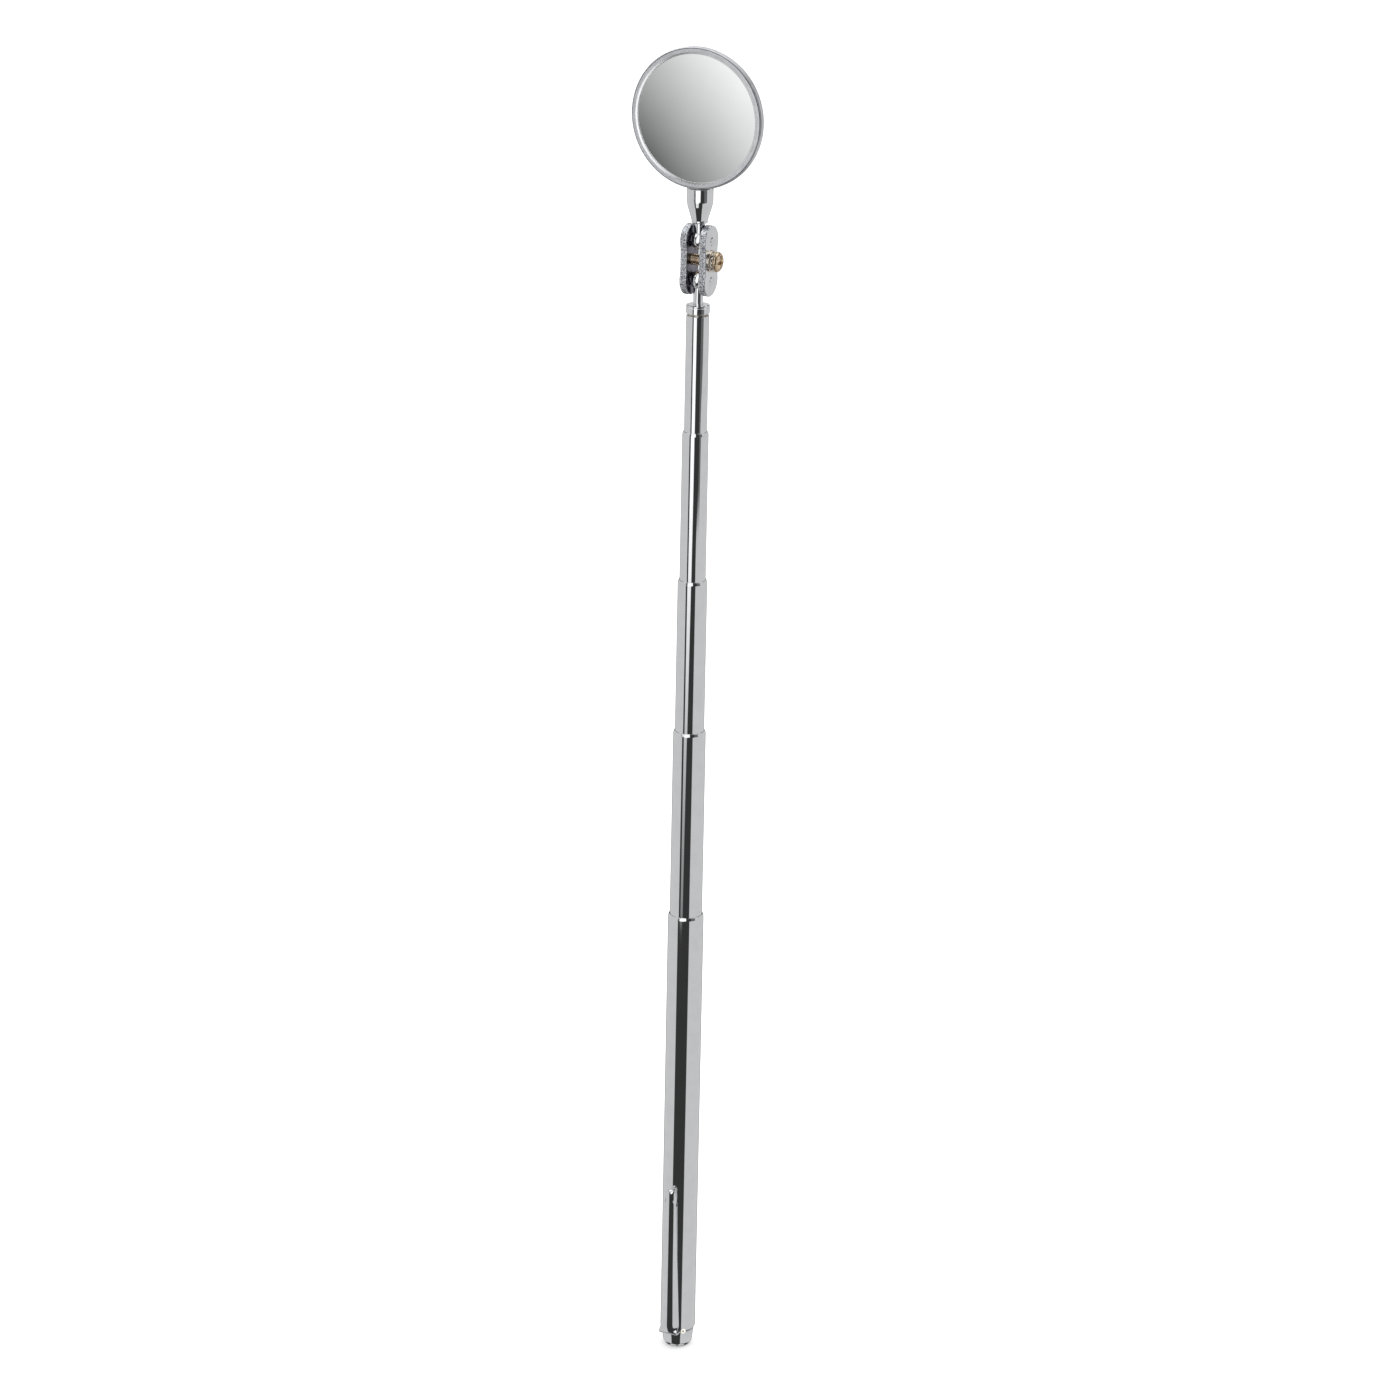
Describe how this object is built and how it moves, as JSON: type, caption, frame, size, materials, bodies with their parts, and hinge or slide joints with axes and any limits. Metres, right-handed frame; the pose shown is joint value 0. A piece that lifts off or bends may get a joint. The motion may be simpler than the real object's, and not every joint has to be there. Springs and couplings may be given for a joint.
{
  "type": "telescopic inspection mirror",
  "caption": "Round framed mirror on a double ball clamp at the end of a telescopic chromed handle with a pocket clip.",
  "frame": {"origin": "middle of the end cap's bottom face, on the tubes' axis", "axes": "+Z along the tubes to the mirror, the mirror and the pocket clip face -Y, the clamp screw's head points to +X"},
  "size_m": [0.0305, 0.01, 0.3037],
  "materials": {
    "chrome": "polished chrome plate",
    "plate": "chrome plate over stamped steel, edges less polished",
    "brass": "turned brass, lightly tarnished",
    "bronze": "spring bronze, rubbed",
    "mirror": "silvered flat glass",
    "felt": "thin felt pad"
  },
  "bodies": {
    "barrel": {"barrel_tube": "chrome", "barrel_bush": "brass", "end_cap": "chrome", "clip_ring": "chrome"},
    "clip": {"pocket_clip": "chrome"},
    "second_tube": {"tube_2": "chrome", "sleeve_2": "bronze"},
    "third_tube": {"tube_3": "chrome", "sleeve_3": "bronze"},
    "fourth_tube": {"tube_4": "chrome", "sleeve_4": "bronze"},
    "fifth_tube": {"tube_5": "chrome", "sleeve_5": "bronze", "end_collar": "chrome"},
    "lower_stud": {"lower_ball_stud": "chrome"},
    "clamp": {"clamp_plate_left": "plate", "clamp_plate_right": "plate", "flat_washer": "chrome", "spring_washer": "brass"},
    "screw": {"clamp_screw": "brass"},
    "upper_stud": {"upper_ball_stud": "chrome"},
    "mirror_head": {"mirror_neck": "chrome", "neck_rivet": "chrome", "mirror_bezel": "chrome", "mirror_back": "chrome", "backing_pad": "felt", "mirror_glass": "mirror"}
  },
  "joints": [
    {"name": "slide_2", "type": "slide", "parent": "barrel", "child": "second_tube", "axis": [0, 0, 1], "range_m": [-0.0421, 0.0478]},
    {"name": "slide_3", "type": "slide", "parent": "second_tube", "child": "third_tube", "axis": [0, 0, 1], "range_m": [-0.0335, 0.0573]},
    {"name": "slide_4", "type": "slide", "parent": "third_tube", "child": "fourth_tube", "axis": [0, 0, 1], "range_m": [-0.0322, 0.0595]},
    {"name": "slide_5", "type": "slide", "parent": "fourth_tube", "child": "fifth_tube", "axis": [0, 0, 1], "range_m": [-0.0249, 0.0677]},
    {"name": "lower_turn", "type": "hinge", "parent": "fifth_tube", "child": "lower_stud", "pos_m": [0, 0, 0.253], "axis": [0, 0, 1], "continuous": true},
    {"name": "lower_swing", "type": "hinge", "parent": "lower_stud", "child": "clamp", "pos_m": [0, 0, 0.253], "axis": [1, 0, 0], "range_deg": [-75, 75]},
    {"name": "screw_turn", "type": "hinge", "parent": "clamp", "child": "screw", "pos_m": [0, 0, 0.25735], "axis": [1, 0, 0], "range_deg": [0, 360]},
    {"name": "upper_swing", "type": "hinge", "parent": "clamp", "child": "upper_stud", "pos_m": [0, 0, 0.2617], "axis": [1, 0, 0], "range_deg": [-75, 75]},
    {"name": "mirror_turn", "type": "hinge", "parent": "upper_stud", "child": "mirror_head", "pos_m": [0, 0, 0.2655], "axis": [0, 0, 1], "continuous": true},
    {"name": "clip_flex", "type": "hinge", "parent": "barrel", "child": "clip", "pos_m": [0, -0.0053, 0.00445], "axis": [1, 0, 0], "range_deg": [0, 3], "stiffness_Nm_per_rad": 1}
  ]
}
